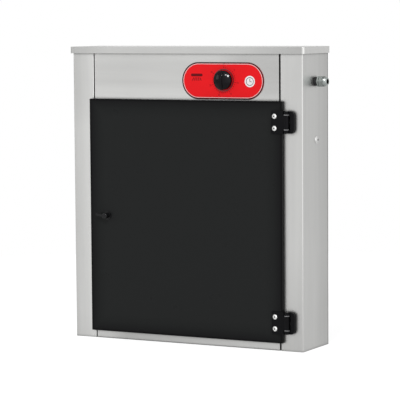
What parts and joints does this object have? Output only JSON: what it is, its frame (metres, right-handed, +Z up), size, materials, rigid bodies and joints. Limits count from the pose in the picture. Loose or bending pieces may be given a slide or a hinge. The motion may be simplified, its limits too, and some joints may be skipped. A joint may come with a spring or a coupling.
{
  "type": "knife sterilizer cabinet",
  "caption": "Shallow stainless wall cabinet that sterilizes knives with an ultraviolet lamp, with a hinged smoked door, a latch, a timer knob and a cable gland.",
  "frame": {"origin": "middle of the underside of the cabinet body, without the lid's overhang", "axes": "+X to the right seen from the front, +Y to the wall behind, +Z up"},
  "size_m": [0.5513, 0.1417, 0.6],
  "materials": {
    "stainless": "fine brushed stainless steel",
    "inner_stainless": "plain stainless steel",
    "smoked_acrylic": "dark smoked acrylic, polished",
    "seal_rubber": "soft black rubber",
    "black_plastic": "moulded black nylon",
    "latch_plastic": "moulded black nylon",
    "knob_plastic": "glossy black",
    "bright_screw": "bright stainless",
    "rivet_steel": "dull stainless",
    "turned_steel": "turned steel",
    "washer_nylon": "pale grey nylon",
    "plated_brass": "nickel-plated brass",
    "red_label": "printed red film, satin",
    "dial_ring": "bright metal ring",
    "timer_case": "moulded dark grey",
    "lamp_glass": "clear quartz glass",
    "lamp_cap": "rolled aluminium",
    "bright_aluminium": "polished sheet",
    "white_plastic": "white moulded plastic",
    "ballast_paint": "black varnished core",
    "switch_plastic": "black moulded plastic",
    "brown_wire": "brown insulation",
    "blue_wire": "blue insulation",
    "green_wire": "green and yellow insulation"
  },
  "bodies": {
    "cabinet": {"left_side_panel": "stainless", "right_side_panel": "stainless", "back_panel": "stainless", "bottom_panel": "stainless", "control_fascia": "stainless", "top_lid": "stainless", "chamber_ceiling": "inner_stainless", "knife_rack": "inner_stainless", "rack_bracket_left": "inner_stainless", "rack_bracket_right": "inner_stainless", "switch_bracket": "inner_stainless", "gland_seal": "seal_rubber", "gland_collar": "seal_rubber", "wire_grommets": "seal_rubber", "hinge_frame_leaf_lower": "black_plastic", "hinge_frame_leaf_upper": "black_plastic", "hinge_pad_screws": "bright_screw", "rack_screws": "bright_screw", "rack_nuts": "bright_screw", "ceiling_screws": "bright_screw", "lid_screws": "bright_screw", "back_rivets": "rivet_steel", "hinge_pins": "turned_steel", "hinge_washers": "washer_nylon", "gland_body": "plated_brass", "gland_dome_nut": "plated_brass", "gland_locknut": "plated_brass", "timer_nut": "plated_brass", "interlock_bush": "plated_brass", "control_label": "red_label", "timer_dial_ring": "dial_ring", "timer_body": "timer_case", "lamp_tube": "lamp_glass", "lamp_caps": "lamp_cap", "lamp_reflector": "bright_aluminium", "lampholder_left": "white_plastic", "lampholder_right": "white_plastic", "starter_socket": "white_plastic", "starter": "white_plastic", "terminal_block": "white_plastic", "ballast": "ballast_paint", "microswitch": "switch_plastic", "live_wires": "brown_wire", "lamp_wires": "blue_wire", "earth_wire": "green_wire"},
    "door": {"door_panel": "smoked_acrylic", "door_seal": "seal_rubber", "hinge_door_leaf_lower": "black_plastic", "hinge_door_leaf_upper": "black_plastic", "hinge_door_screws": "bright_screw", "hinge_door_nuts": "bright_screw", "latch_bush": "latch_plastic", "latch_bush_nut": "latch_plastic"},
    "latch": {"latch_lever": "latch_plastic", "latch_spindle": "turned_steel", "latch_cam": "turned_steel", "latch_cam_screw": "bright_screw"},
    "timer": {"timer_knob": "knob_plastic", "timer_shaft": "turned_steel"},
    "plunger": {"interlock_plunger": "turned_steel"}
  },
  "joints": [
    {"name": "door_swing", "type": "hinge", "parent": "cabinet", "child": "door", "pos_m": [0.2285, -0.068, 0.255], "axis": [0, 0, 1], "range_deg": [0, 110]},
    {"name": "latch_turn", "type": "hinge", "parent": "door", "child": "latch", "pos_m": [-0.178, -0.068, 0.255], "axis": [0, 1, 0], "range_deg": [0, 90]},
    {"name": "timer_turn", "type": "hinge", "parent": "cabinet", "child": "timer", "pos_m": [0.08775, -0.06, 0.5342], "axis": [0, 1, 0], "range_deg": [0, 300]},
    {"name": "plunger_slide", "type": "slide", "parent": "cabinet", "child": "plunger", "axis": [0, -1, 0], "range_m": [0, 0.003]}
  ],
  "couplings": [
    {"joint": "plunger_slide", "follows": "door_swing", "m_per_rad": 0.00156}
  ]
}
